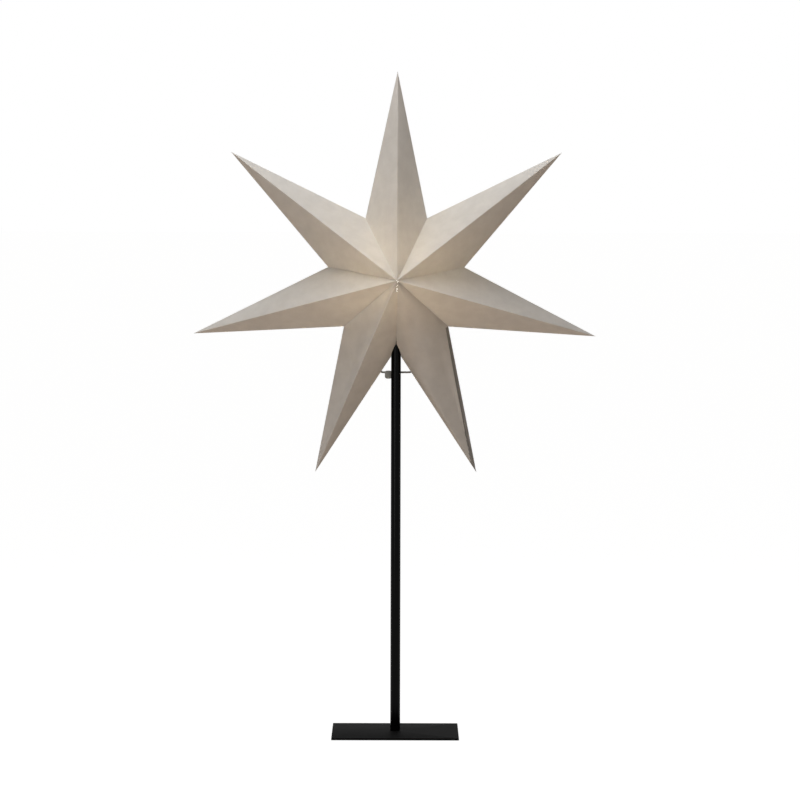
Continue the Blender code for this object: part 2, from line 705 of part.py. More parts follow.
def main():
    clear_scene()
    black_coat = material("black_powder_coat", (0.012, 0.012, 0.013), 0.45)
    black_plastic = material("black_plastic", (0.02, 0.02, 0.02), 0.5)
    white_plastic = material("white_plastic", (0.8, 0.8, 0.78), 0.45)
    grey_plastic = material("grey_plastic", (0.16, 0.165, 0.155), 0.5)
    rubber = material("rubber", (0.02, 0.02, 0.02), 0.8)
    steel = material("zinc_steel", (0.55, 0.55, 0.56), 0.35, 1.0)
    brass = material("brass", (0.78, 0.6, 0.3), 0.3, 1.0)
    nickel = material("nickel", (0.7, 0.68, 0.65), 0.25, 1.0)
    aluminium = material("aluminium", (0.8, 0.8, 0.8), 0.4, 1.0)
    ceramic = material("ceramic", (0.85, 0.83, 0.78), 0.35)
    opal = material("opal_globe", (0.9, 0.88, 0.82), 0.3)
    paper = material("paper", (0.75, 0.71, 0.66), 0.85)
    cord_grey = material("grey_cord", (0.12, 0.12, 0.115), 0.8)
    make_foot(black_coat, rubber, steel)
    make_pole(black_coat, steel, rubber, black_plastic)
    make_nipple(steel)
    bulb_axis = empty("bulb_axis", (0, 0, SHELL_FOOT))
    make_holder(black_plastic, ceramic, brass, bulb_axis)
    make_bulb(bulb_axis, nickel, black_plastic, white_plastic, aluminium, opal)
    make_star(paper, brass, cord_grey, grey_plastic)


main()
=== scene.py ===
"""The looks of a folded-paper star lamp: a seven-pointed star on a round pole with a square foot plate.

Metres, +Z up. The origin is on the floor, on the pole's axis. The star's front faces -Y.
"""

import json
import math
import random

import bmesh
import bpy
from mathutils import Matrix, Vector


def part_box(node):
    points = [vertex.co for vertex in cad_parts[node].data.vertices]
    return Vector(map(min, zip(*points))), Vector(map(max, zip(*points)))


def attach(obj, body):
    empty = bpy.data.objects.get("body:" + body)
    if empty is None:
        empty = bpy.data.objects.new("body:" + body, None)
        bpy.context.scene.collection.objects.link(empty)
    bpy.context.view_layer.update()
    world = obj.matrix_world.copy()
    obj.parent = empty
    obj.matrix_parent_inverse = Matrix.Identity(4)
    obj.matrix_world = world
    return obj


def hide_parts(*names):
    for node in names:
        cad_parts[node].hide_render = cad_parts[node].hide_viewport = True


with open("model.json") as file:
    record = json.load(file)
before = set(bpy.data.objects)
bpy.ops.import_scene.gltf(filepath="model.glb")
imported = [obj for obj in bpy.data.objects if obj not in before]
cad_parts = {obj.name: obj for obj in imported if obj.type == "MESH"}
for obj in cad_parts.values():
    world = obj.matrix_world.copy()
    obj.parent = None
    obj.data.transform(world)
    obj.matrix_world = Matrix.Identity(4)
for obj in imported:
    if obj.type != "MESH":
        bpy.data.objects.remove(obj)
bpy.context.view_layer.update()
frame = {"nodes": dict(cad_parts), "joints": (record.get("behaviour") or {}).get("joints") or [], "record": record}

# Camera
CAMERA_DISTANCE = 6.9
CAMERA_HEIGHT = 0.85
CAMERA_SIDE = 0.0062
CAMERA_ROLL = math.radians(0.136)
AIM_HEIGHT = 0.508
PIXELS_PER_METRE = 660.0  # at the pole
PICTURE_SIDE = 800
VIEW_END = 200.0

# Star
TIP_RADIUS = 0.312
VALLEY_RADIUS = 0.1053
HALF_DEPTH = 0.090
SEAM_SPREAD = math.radians(45.0)
SEAM_AFTER = 3
SEAM_SIDES = {SEAM_AFTER: -1, SEAM_AFTER + 1: 1}  # the two lowest points, left and right of the pole
# How far each tip lies from its even place, to the right and up
TIP_SHIFTS = {
    "top": (0.0015, 0.0045),
    "upper_left": (-0.0030, 0.0045),
    "left": (-0.0060, 0.0),
    "lower_left": (-0.0030, -0.0025),
    "lower_right": (0.0030, -0.0025),
    "right": (0.0015, -0.0030),
    "upper_right": (0.0030, 0.0045),
}
POINT_NAMES = tuple(TIP_SHIFTS)  # anticlockwise, seen from the front
FRONT_APEX_SHIFT = Vector((0.0015, 0.0, 0.0021))
PAPER_THICKNESS = 0.0004
THINNING_LENGTH = 0.030
THINNEST_SHARE = 0.05
VALLEY_GAP = 0.00004
SEAM_GAP = 0.00002
SEAM_GAP_END = 0.07  # share of the ridge's length over which the seam opens to the gap of a valley
SEAM_MOUTH_GAP = 0.0025
SEAM_MOUTH_START = 0.80  # share of the valley's length where the seam opens again towards the pole
APEX_HOLE_RADIUS = 0.0012
GLUE_LAP = 0.006
GLUE_LAP_REACH = 0.93
INNER_ROWS = 16
OUTER_ROWS = 34
FACET_COLUMNS = 10
FLANGE_COLUMNS = 2
BOW_SEED = 40
BOW_RANGE = (-0.0006, 0.0022)
BOW_RATE = 1.1  # above 1, so that a bow ends before the tip
BOW_POWER = 0.8
BOW_END = 0.9
RIPPLE_RANGE = (0.0003, 0.0009)
RIPPLE_TURNS = 1.6
RIDGE_ROUNDING = 0.0006
RIDGE_SHARE = 0.08
RIDGE_FADE_LENGTH = 0.125  # share of the ridge's length over which its rounding fades out to the tip
WAVY_VALLEYS = (1, 5)
WAVE_HEIGHT = 0.0004
WAVE_TURNS = 2.3
OVERHANG = 0.0012  # how far the upper sheet stands out over the lower one at a wavy valley
NIB_START = 0.962
NIB_LENGTH = 0.019
NIB_PINCH = 0.15
SOFT_BEND_DEPTH = 0.0042
SOFT_BEND_PLACE = 0.42
FLANGE_WIDTH = 0.0056
FLANGE_START_SHARE = 0.8
FLANGE_GROWTH = 0.35
FLANGE_STEP = 0.0003
FLANGE_DEPTH = 0.004
FLANGE_RISE_START = 0.50  # share of the facet's width where the paper starts to rise to the flange
FLANGE_RISE_FROM = 0.8  # share of the way to the valley where the flange starts to rise
FLANGE_RISE_LENGTH = 0.12
FLANGE_TIP_FADE = 3.0
LARGEST_FLANGE_SHARE = 0.45
FLATTENING = 0.46  # share of the ridge's height that the flattened point loses
FLATTENING_REACH = 0.30
TURNED_HEIGHT = 0.34  # share of the ridge's height that is left where the point is turned to the right
TURN_START = 0.30
TURN_LENGTH = 0.30
TURNED_EDGE_POWER = 8
POLE_WAY = (-1.5, -0.5)  # from where to where the pole cuts its way in, in valley radii

# Tie behind the pole
TIE_BELOW_VALLEY = 0.034
TIE_DIAMETER = 0.0030
TIE_KNOT_DIAMETER = 0.0058
TIE_KNOT_LENGTH = 0.005
EYELET_INSET = 0.011
EYELET_BORE = 0.0038
EYELET_WALL = 0.0006
EYELET_FLANGE_DIAMETER = 0.0093
EYELET_FLANGE_THICKNESS = 0.0006
EYELET_OUTER_ROUNDING = 0.45  # shares of the flange's thickness
EYELET_BORE_ROUNDING = 0.8
CAD_PAPER_THICKNESS = 0.0005
STRANDS = 3
STRAND_PITCH = 0.006
STRAND_DEPTH = 0.16
ROUTE_EASINGS = 4
STOP_BORE = 0.0038
STOP_CORNER_RADIUS = 0.0036
STOP_EDGE_RADIUS = 0.0007

# Stand
GAP = 0.0003
POLE_WALL = 0.001
POLE_LIP_RADIUS = 0.0003
PLATE_CORNER_RADIUS = 0.0008
PLATE_EDGE_RADIUS = 0.0005
PAD_COUNT = 4
PAD_ROUNDING = 0.5  # share of a pad's height
SCREW_DIAMETER = 0.0056
SCREW_HEAD_DIAMETER = 0.0106
SCREW_HEAD_HEIGHT = 0.0025
SCREW_HEAD_CHAMFER = 0.00025
SCREW_END_CHAMFER = 0.0005
SOCKET_SIDES = 6
SOCKET_ACROSS_FLATS = 0.003
SOCKET_DEPTH = 0.0018
OUTLET_HEIGHT = 0.032
OUTLET_BORE = 0.0064
OUTLET_WALL = 0.0009
OUTLET_FLANGE_DIAMETER = 0.0108
OUTLET_FLANGE_THICKNESS = 0.0016
OUTLET_OUTER_ROUNDING = 1 / 2  # shares of the flange's thickness
OUTLET_BORE_ROUNDING = 1 / 3
OUTLET_INNER_ROUNDING = 1 / 4

# Lampholder and bulb
HOLDER_WALL = 0.0016
CAP_FOOT_DIAMETER = 0.021
CAP_LEDGE_HEIGHT = 0.0085
CAP_LEDGE_WIDTH = 0.0022
CAP_FOOT_FILLET = 0.0012
CAP_SHOULDER_FILLET = 0.0020
MOUTH_FILLET = 0.0006
RIM_FILLET = 0.0004
FINE_FILLET = 0.0003
NIPPLE_DIAMETER = 0.008
GRIP_RIBS = 36
SIDES_PER_RIB = 6
GRIP_DEPTH = 0.0004
GRIP_MARGIN = 0.004
THREAD_PITCH = 0.002822
THREAD_DEPTH = 0.00042
THREAD_START = 0.0012
THREAD_END = 0.0128
BULB_CAP_WALL = 0.0005
BULB_TIP_DIAMETER = 0.0046
BULB_TIP_ROUNDING = 0.8  # share of the tip's height
BULB_INSULATOR_TOP = 0.0104
BULB_INSULATOR_FILLET = 0.0006
COLLAR_PLUG_DEPTH = 0.004
COLLAR_FOOT_DIAMETER = 0.0165
COLLAR_FOOT_FILLET = 0.0008
COLLAR_NECK_FLARE = 0.0004
COLLAR_NECK_HEIGHT = 0.003
COLLAR_NECK_FILLET = 0.003
COLLAR_SHOULDER_INSET = 0.0002
COLLAR_SHOULDER_DROP = 0.0016
COLLAR_SHOULDER_FILLET = 0.004
GLOBE_WALL = 0.0011

# Surfaces: the colours of their darkest and lightest patches, and then what the comment names
COATS = {  # roughness and specular level
    "black_coat": ((0.0010, 0.0010, 0.0010), (0.0018, 0.0018, 0.0018), 0.20, 0.055),
    "matte_black_coat": ((0.0035, 0.0035, 0.0035), (0.0055, 0.0055, 0.0055), 0.6, 0.005),
}
METALS = {  # roughness
    "zinc_steel": ((0.50, 0.50, 0.51), (0.60, 0.60, 0.61), 0.35),
    "brass": ((0.70, 0.52, 0.24), (0.80, 0.62, 0.32), 0.3),
    "nickel": ((0.64, 0.62, 0.59), (0.72, 0.70, 0.67), 0.25),
    "aluminium": ((0.74, 0.74, 0.74), (0.82, 0.82, 0.82), 0.4),
}
MOULDED = {  # roughness
    "rubber": ((0.016, 0.016, 0.016), (0.024, 0.024, 0.024), 0.8),
    "black_plastic": ((0.016, 0.016, 0.017), (0.024, 0.024, 0.025), 0.48),
    "white_plastic": ((0.77, 0.77, 0.75), (0.82, 0.82, 0.80), 0.45),
    "grey_plastic": ((0.23, 0.24, 0.225), (0.28, 0.29, 0.275), 0.5),
    "ceramic": ((0.80, 0.78, 0.73), (0.87, 0.85, 0.80), 0.4),
}
PAPERS = {  # share of the light that the sheet lets through
    "star_paper": ((0.676, 0.660, 0.635), (0.713, 0.697, 0.672), 0.25),
    # The front of the lower right point: star paper darkened with painted shade, letting less light through
    "lined_paper": ((0.602, 0.575, 0.538), (0.637, 0.610, 0.573), 0.18),
    # The flange along the lower right point's right fold: painted shade, a dark sheet where the fold lies in shade
    "glued_flange": ((0.26, 0.25, 0.235), (0.29, 0.28, 0.265), 0.05),
}
PAPER_ROUGHNESS = 0.875
PAPER_SPECULAR = 0.15
THROUGH_COLOURS = ((0.74, 0.68, 0.59), (0.82, 0.76, 0.67))
YARN = ((0.16, 0.16, 0.155), (0.29, 0.29, 0.28), 0.85)
OPAL_COLOURS = ((0.86, 0.83, 0.77), (0.91, 0.89, 0.84))
OPAL_ROUGHNESS = 0.35
# Material slots whose surface has another name than the slot
SLOT_LOOKS = {"black_metal": "black_coat", "paper": "star_paper", "grey_cord": "tie_cord"}

# Textures of the grain and of the patches (features per metre, levels of detail, roughness, stretch),
# strength and height of the grain's bumps, and how far the roughness varies to both sides
TEXTURES = {
    "coat": ((1400.0, 2.0), (35.0, 3.0), (0.05, 0.0002), 0.05),
    "metal": ((900.0, 4.0, 0.7, (0.2, 0.2, 4.0)), (150.0, 2.0), (0.06, 0.0001), 0.08),
    "moulded": ((1800.0, 3.0), (120.0, 2.0), (0.12, 0.0002), 0.06),
    "paper": ((900.0, 5.0, 0.7), (55.0, 4.0), (0.12, 0.0004), 0.075),
    "yarn": ((1600.0, 4.0, 0.7), (1600.0, 4.0, 0.7), (0.4, 0.0003), 0.07),
}
OPAL_CLOUDS = (90.0, 2.0)
NOISE_ROUGHNESS = 0.55  # where a texture names none
PATCH_START = 0.35  # texture values of the darkest and the lightest patches
PATCH_END = 0.65

# Light
BULB_COLOUR = (1.0, 0.90, 0.70)
BULB_STRENGTH = 46.0
WHITE = (1.0, 1.0, 1.0)
AMBIENT_COLOUR = (1.0, 0.985, 0.97)
AMBIENT = 0.283
AMBIENT_SLOPE = Vector((0.03, -0.05, 0.0))  # how the ambient light grows with the direction it comes from
FLOOR_REACH = 60.0
FLOOR_COLOUR = (0.94, 0.75, 0.60)
FLOOR_ROUGHNESS = 0.9
FLOOR_SHADE = (0.30, 0.30, 0.30)  # what of the seen floor takes shadow
FLOOR_WHITE = 0.91
KEY_OFFSET = Vector((-0.19, -0.20, 1.15))
KEY_SIZE = (0.9, 0.9)
KEY_POWER = 10.5
KEY_COLOUR = (1.0, 0.99, 0.975)
STRIP_PLACE = Vector((-1.30, -2.90, 0.76))
STRIP_SIZE = (0.50, 1.45)
STRIP_POWER = 15.0

# Fineness
FINE_ROUND = 96
SMALL_ROUND = 48
FILLET_STEPS = 4
GLOBE_ARC_STEPS = 40
THREAD_ROWS_PER_TURN = 12
SHARP_ANGLE = math.radians(32.0)
CUT_MARGIN = 0.002
ROUND_BEVEL = 0.5
SAME_PLACE = 1e-5
SAME_SIZE = 1e-6
NO_SIZE = 1e-7


def low(node):
    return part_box(node)[0]


def high(node):
    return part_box(node)[1]


def foot_and_height(node):
    return low(node)[2], high(node)[2] - low(node)[2]


STAR_CENTRE = Vector(next(j["pos_m"] for j in frame["joints"] if j["name"] == "star_swivel"))
POLE_RADIUS = high("pole_tube")[0]
POLE_BORE_RADIUS = POLE_RADIUS - POLE_WALL
TIE_DEPTH = POLE_RADIUS + GAP + TIE_DIAMETER / 2
TIE_LEVEL = -VALLEY_RADIUS - TIE_BELOW_VALLEY
SLOTS = {part["node"]: part["material_slot"] for part in frame["record"]["subparts"]}


# Materials


def new_material(name):
    made = bpy.data.materials.new(name)
    made.use_nodes = True
    tree = made.node_tree
    return made, tree, tree.nodes["Principled BSDF"]


def set_inputs(node, values):
    for key, value in values.items():
        node.inputs[key].default_value = value


def add_node(tree, kind, values=None, **settings):
    node = tree.nodes.new(kind)
    for key, value in settings.items():
        setattr(node, key, value)
    set_inputs(node, values or {})
    return node


def noise(tree, scale, detail, roughness=NOISE_ROUGHNESS, stretch=(1.0, 1.0, 1.0)):
    """A noise texture in the piece's own coordinates, in features per metre."""
    where = add_node(tree, "ShaderNodeTexCoord")
    mapping = add_node(tree, "ShaderNodeMapping", {"Scale": stretch})
    values = {"Scale": scale, "Detail": detail, "Roughness": roughness}
    made = add_node(tree, "ShaderNodeTexNoise", values)
    tree.links.new(where.outputs["Object"], mapping.inputs["Vector"])
    tree.links.new(mapping.outputs["Vector"], made.inputs["Vector"])
    return made.outputs["Fac"]


def ramp(tree, source, dark, light):
    """Blends two colours by a texture's value."""
    made = add_node(tree, "ShaderNodeValToRGB")
    first, last = made.color_ramp.elements
    first.position = PATCH_START
    first.color = (*dark, 1.0)
    last.position = PATCH_END
    last.color = (*light, 1.0)
    tree.links.new(source, made.inputs["Fac"])
    return made.outputs["Color"]


def spread(tree, source, lowest, highest):
    """Maps a texture's value from 0..1 to lowest..highest."""
    made = add_node(tree, "ShaderNodeMapRange", {"To Min": lowest, "To Max": highest})
    tree.links.new(source, made.inputs["Value"])
    return made.outputs["Result"]


def bump(tree, source, strength, distance):
    made = add_node(tree, "ShaderNodeBump", {"Strength": strength, "Distance": distance})
    tree.links.new(source, made.inputs["Height"])
    return made.outputs["Normal"]


def show_mix(tree, output, first, second):
    """Sends a mix of two shaders to the output; returns the input for the second one's share."""
    mix = add_node(tree, "ShaderNodeMixShader")
    tree.links.new(first, mix.inputs[1])
    tree.links.new(second, mix.inputs[2])
    tree.links.new(mix.outputs["Shader"], output.inputs["Surface"])
    return mix.inputs["Fac"]


def textured(name, kind, dark, light, roughness):
    """A new material with patches of colour, fine bumps and a roughness that varies a little."""
    grain_texture, patch_texture, bumps, variation = TEXTURES[kind]
    made, tree, shader = new_material(name)
    grain = noise(tree, *grain_texture)
    patches = noise(tree, *patch_texture)
    varying = patches if kind == "coat" else grain
    link = tree.links.new
    link(ramp(tree, patches, dark, light), shader.inputs["Base Color"])
    link(spread(tree, varying, roughness - variation, roughness + variation), shader.inputs["Roughness"])
    link(bump(tree, grain, *bumps), shader.inputs["Normal"])
    return made, tree, shader, patches


def paper_material(name, dark, light, through_share):
    """Uncoated paper: a cloudy sheet with fine fibres, letting a share of the bulb's light through."""
    made, tree, shader, clouds = textured(name, "paper", dark, light, PAPER_ROUGHNESS)
    set_inputs(shader, {"Specular IOR Level": PAPER_SPECULAR})
    through = add_node(tree, "ShaderNodeBsdfTranslucent")
    tree.links.new(ramp(tree, clouds, *THROUGH_COLOURS), through.inputs["Color"])
    output = tree.nodes["Material Output"]
    share = show_mix(tree, output, shader.outputs["BSDF"], through.outputs["BSDF"])
    share.default_value = through_share
    return made


def coat_material(name, dark, light, roughness, specular):
    """Black powder coat with a fine orange peel."""
    made, _, shader, _ = textured(name, "coat", dark, light, roughness)
    set_inputs(shader, {"Specular IOR Level": specular})
    return made


def moulded_material(name, dark, light, roughness):
    """Moulded plastic or rubber with a faint grain."""
    return textured(name, "moulded", dark, light, roughness)[0]


def metal_material(name, dark, light, roughness):
    """Plain metal with fine turning marks around its axis."""
    made, _, shader, _ = textured(name, "metal", dark, light, roughness)
    set_inputs(shader, {"Metallic": 1.0})
    return made


def cord_material(name):
    """Twisted grey yarn."""
    return textured(name, "yarn", *YARN)[0]


def opal_material(name):
    """The bulb's opal globe, softly lit from within."""
    made, tree, shader = new_material(name)
    clouds = noise(tree, *OPAL_CLOUDS)
    tree.links.new(ramp(tree, clouds, *OPAL_COLOURS), shader.inputs["Base Color"])
    set_inputs(shader, {
        "Roughness": OPAL_ROUGHNESS,
        "Emission Color": (*BULB_COLOUR, 1.0),
        "Emission Strength": BULB_STRENGTH,
    })
    return made


def make_looks():
    """Every surface by its name."""
    families = (
        (coat_material, COATS),
        (metal_material, METALS),
        (moulded_material, MOULDED),
        (paper_material, PAPERS),
    )
    looks = {name: make(name, *look) for make, family in families for name, look in family.items()}
    looks |= {"opal_globe": opal_material("opal_globe"), "tie_cord": cord_material("tie_cord")}
    return looks


LOOKS = make_looks()


def paint(data, node, look=None):
    """Gives a mesh the surface of its node's slot, or another one."""
    slot = SLOTS[node]
    data.materials.clear()
    data.materials.append(LOOKS[look or SLOT_LOOKS.get(slot, slot)])


# Mesh helpers


def new_object(name, data):
    made = bpy.data.objects.new(name, data)
    bpy.context.scene.collection.objects.link(made)
    return made


def add_piece(name, data, body, node, look=None):
    """A piece that stands for a node of the frame and rides on a body."""
    data.name = name
    paint(data, node, look)
    made = new_object(name, data)
    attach(made, body)
    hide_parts(node)


def finish_mesh(shape, outward=True):
    """Turns a shape into a smooth-shaded mesh with crisp folds and edges."""
    if outward:
        bmesh.ops.recalc_face_normals(shape, faces=shape.faces)
    data = bpy.data.meshes.new("shape")
    shape.to_mesh(data)
    shape.free()
    shade(data)
    return data


def shade(data):
    data.shade_smooth()
    data.set_sharp_from_angle(angle=SHARP_ANGLE)


def soft_profile(corners):
    """Profile points from (radius, height, fillet) corners, each rounded by its fillet."""
    points = []
    for number, (radius, height, fillet) in enumerate(corners):
        here = Vector((radius, height))
        if fillet == 0:
            points.append(here)
            continue
        before = (Vector(corners[number - 1][:2]) - here).normalized()
        after = (Vector(corners[(number + 1) % len(corners)][:2]) - here).normalized()
        half = before.angle(after) / 2
        centre = here + (before + after).normalized() * (fillet / math.sin(half))
        start = here + before * (fillet / math.tan(half)) - centre
        end = here + after * (fillet / math.tan(half)) - centre
        sweep = start.angle(end)
        for step in range(FILLET_STEPS + 1):
            share = step / FILLET_STEPS
            along = start * math.sin((1 - share) * sweep) + end * math.sin(share * sweep)
            points.append(centre + along / math.sin(sweep))
    return [(point.x, point.y) for point in points]


def domed_profile(radius, height, rounding):
    """The profile of a disc with a rounded lower edge."""
    return soft_profile([(0, height, 0), (0, 0, 0), (radius, 0, rounding), (radius, height, 0)])


def turned_mesh(profile, sides=FINE_ROUND, shaped=None):
    """A closed profile of (radius, height) points turned about Z; shaped may vary the radius."""
    shape = bmesh.new()
    rings = []
    for radius, height in profile:
        if radius < NO_SIZE:
            rings.append([shape.verts.new((0, 0, height))] * sides)
            continue
        ring = []
        for side in range(sides):
            angle = 2 * math.pi * side / sides
            reach = shaped(radius, height, angle) if shaped else radius
            ring.append(shape.verts.new((reach * math.cos(angle), reach * math.sin(angle), height)))
        rings.append(ring)
    add_skin(shape, rings + rings[:1])
    return finish_mesh(shape)


def add_skin(shape, rings):
    """Faces between each ring of points and the next one; a ring on the axis is one point many times."""
    for ring, following in zip(rings, rings[1:]):
        for side in range(len(ring)):
            onward = (side + 1) % len(ring)
            corners = [ring[side], ring[onward], following[onward], following[side]]
            distinct = list(dict.fromkeys(corners))
            if len(distinct) > 2:
                shape.faces.new(distinct)


def lifted(data, height):
    data.transform(Matrix.Translation((0, 0, height)))
    return data


def worked(data, tools, tip=None):
    """The mesh after cutting the tools' meshes out of it.

    With a tip it is first thickened to a sheet of paper, which gets thinner in the last bit before the
    tip, where its folds leave no room inside.
    """
    host = new_object("host", data)
    helpers = [host]
    if tip:
        group = host.vertex_groups.new(name="thickness")
        for vert in data.vertices:
            share = min(1.0, (vert.co - tip).length / THINNING_LENGTH)
            group.add([vert.index], max(THINNEST_SHARE, share), "REPLACE")
        sheet = host.modifiers.new("sheet", "SOLIDIFY")
        sheet.vertex_group = group.name
        sheet.thickness = PAPER_THICKNESS
        sheet.offset = -1
        sheet.use_even_offset = True
    for tool in tools:
        cutter = new_object("cutter", tool)
        helpers.append(cutter)
        cut = host.modifiers.new("cut", "BOOLEAN")
        cut.operation = "DIFFERENCE"
        cut.solver = "EXACT"
        cut.object = cutter
    evaluated = host.evaluated_get(bpy.context.evaluated_depsgraph_get())
    made = bpy.data.meshes.new_from_object(evaluated)
    for helper in helpers:
        bpy.data.objects.remove(helper)
    shade(made)
    return made


def rod_mesh(radius, start, end):
    return turned_mesh([(0, end), (0, start), (radius, start), (radius, end)], SMALL_ROUND)


def rounded_outline(width, depth, radius):
    """Corner points of a rectangle with round corners, anticlockwise."""
    corners = []
    for quarter, (along, across) in enumerate(((1, 1), (-1, 1), (-1, -1), (1, -1))):
        middle = Vector((along * (width / 2 - radius), across * (depth / 2 - radius)))
        for step in range(FILLET_STEPS + 1):
            angle = math.pi / 2 * (quarter + step / FILLET_STEPS)
            corners.append(middle + radius * Vector((math.cos(angle), math.sin(angle))))
    return corners


def slab_mesh(outline, bottom, top, edge_radius):
    """A flat outline raised to a plate with softened edges."""
    shape = bmesh.new()
    base = shape.faces.new([shape.verts.new((x, y, bottom)) for x, y in outline])
    raised = bmesh.ops.extrude_face_region(shape, geom=[base])
    moved = [item for item in raised["geom"] if isinstance(item, bmesh.types.BMVert)]
    bmesh.ops.translate(shape, verts=moved, vec=(0, 0, top - bottom))
    bmesh.ops.recalc_face_normals(shape, faces=shape.faces)
    rims = [edge for edge in shape.edges if abs(edge.verts[0].co.z - edge.verts[1].co.z) < SAME_SIZE]
    bmesh.ops.bevel(
        shape, geom=rims, offset=edge_radius, segments=FILLET_STEPS, profile=ROUND_BEVEL, affect="EDGES"
    )
    return finish_mesh(shape)


# Stand


def make_foot():
    lowest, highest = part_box("base_plate")
    outline = rounded_outline(highest[0] - lowest[0], highest[1] - lowest[1], PLATE_CORNER_RADIUS)
    plate = slab_mesh(outline, lowest[2], highest[2], PLATE_EDGE_RADIUS)
    head = SCREW_HEAD_DIAMETER / 2 + GAP
    stem = SCREW_DIAMETER / 2 + GAP
    sink = turned_mesh([
        (0, highest[2] + CUT_MARGIN),
        (0, lowest[2] - CUT_MARGIN),
        (head, lowest[2] - CUT_MARGIN),
        (head, lowest[2] + GAP),
        (stem, lowest[2] + SCREW_HEAD_HEIGHT + GAP),
        (stem, highest[2] + CUT_MARGIN),
    ], SMALL_ROUND)
    add_piece("foot_plate", worked(plate, [sink]), "stand", "base_plate", "matte_black_coat")
    for number in range(1, PAD_COUNT + 1):
        node = f"foot_pad_{number}"
        lowest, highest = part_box(node)
        radius = (highest[0] - lowest[0]) / 2
        height = highest[2] - lowest[2]
        profile = domed_profile(radius, height, height * PAD_ROUNDING)
        pad = turned_mesh(profile, SMALL_ROUND)
        middle = (Vector(lowest) + Vector(highest)) / 2
        pad.transform(Matrix.Translation((middle.x, middle.y, lowest[2])))
        add_piece(f"rubber_pad_{number}", pad, "stand", node)
    add_piece("foot_screw", screw_mesh(), "stand", "base_screw")


def screw_mesh():
    """A countersunk screw with a six-sided socket in its head."""
    bottom = low("base_screw")[2]
    top = high("base_screw")[2]
    head = SCREW_HEAD_DIAMETER / 2
    stem = SCREW_DIAMETER / 2

    def socket(radius, height, angle):
        if radius > SOCKET_ACROSS_FLATS / 2 + SAME_SIZE:
            return radius
        flat = 2 * math.pi / SOCKET_SIDES
        return radius / math.cos(angle % flat - flat / 2)

    return turned_mesh([
        (0, top),
        (0, bottom + SOCKET_DEPTH),
        (SOCKET_ACROSS_FLATS / 2, bottom + SOCKET_DEPTH),
        (SOCKET_ACROSS_FLATS / 2, bottom),
        (head - SCREW_HEAD_CHAMFER, bottom),
        (head, bottom + SCREW_HEAD_CHAMFER),
        (stem, bottom + SCREW_HEAD_HEIGHT),
        (stem, top - SCREW_END_CHAMFER),
        (stem - SCREW_END_CHAMFER, top),
    ], SMALL_ROUND, socket)


def make_pole():
    bottom = low("pole_tube")[2]
    top = high("pole_tube")[2]
    tube = turned_mesh(soft_profile([
        (POLE_RADIUS, top, POLE_LIP_RADIUS),
        (POLE_BORE_RADIUS, top, POLE_LIP_RADIUS),
        (POLE_BORE_RADIUS, bottom, 0),
        (POLE_RADIUS, bottom, POLE_LIP_RADIUS),
    ]))
    neck = OUTLET_BORE / 2 + OUTLET_WALL
    backwards = Matrix.Translation((0, 0, OUTLET_HEIGHT)) @ Matrix.Rotation(-math.pi / 2, 4, "X")
    drill = rod_mesh(neck + GAP, 0, 2 * POLE_RADIUS)
    drill.transform(backwards)
    add_piece("pole", worked(tube, [drill]), "stand", "pole_tube")
    flange = OUTLET_FLANGE_DIAMETER / 2
    face = POLE_RADIUS + GAP
    rim = OUTLET_FLANGE_THICKNESS
    grommet = turned_mesh(soft_profile([
        (flange, face + rim, rim * OUTLET_OUTER_ROUNDING),
        (OUTLET_BORE / 2, face + rim, rim * OUTLET_BORE_ROUNDING),
        (OUTLET_BORE / 2, POLE_BORE_RADIUS - POLE_WALL, 0),
        (neck, POLE_BORE_RADIUS - POLE_WALL, 0),
        (neck, face, 0),
        (flange, face, rim * OUTLET_INNER_ROUNDING),
    ]), SMALL_ROUND)
    grommet.transform(backwards)
    add_piece("grommet", grommet, "stand", "cord_grommet")


# Lampholder and bulb


def swing(angle):
    """From 0 to 1 and back over one turn."""
    return (1 - math.cos(angle)) / 2


def make_holder():
    bottom, height = foot_and_height("holder_cap")
    outer = high("holder_barrel")[0]
    inner = outer - HOLDER_WALL
    ledge = inner - CAP_LEDGE_WIDTH
    hole = NIPPLE_DIAMETER / 2 + GAP
    cap = turned_mesh(soft_profile([
        (outer, height, RIM_FILLET),
        (inner, height, FINE_FILLET),
        (inner, CAP_LEDGE_HEIGHT, 0),
        (ledge, CAP_LEDGE_HEIGHT, 0),
        (ledge, HOLDER_WALL, 0),
        (hole, HOLDER_WALL, 0),
        (hole, 0, FINE_FILLET),
        (CAP_FOOT_DIAMETER / 2, 0, CAP_FOOT_FILLET),
        (outer, CAP_LEDGE_HEIGHT, CAP_SHOULDER_FILLET),
    ]))
    add_piece("holder_foot", lifted(cap, bottom), "stand", "holder_cap")
    bottom, height = foot_and_height("holder_barrel")

    def gripped(radius, level, angle):
        if radius < outer - SAME_SIZE or not GRIP_MARGIN < level < height - GRIP_MARGIN:
            return radius
        return radius - GRIP_DEPTH * swing(GRIP_RIBS * angle)

    levels = [GRIP_MARGIN, GRIP_MARGIN + GRIP_DEPTH, height - GRIP_MARGIN - GRIP_DEPTH, height - GRIP_MARGIN]
    profile = soft_profile([
        (outer, height, MOUTH_FILLET),
        (inner, height, RIM_FILLET),
        (inner, 0, FINE_FILLET),
        (outer, 0, RIM_FILLET),
    ])
    profile += [(outer, level) for level in levels]
    sleeve = turned_mesh(profile, GRIP_RIBS * SIDES_PER_RIB, gripped)
    add_piece("holder_sleeve", lifted(sleeve, bottom), "stand", "holder_barrel")


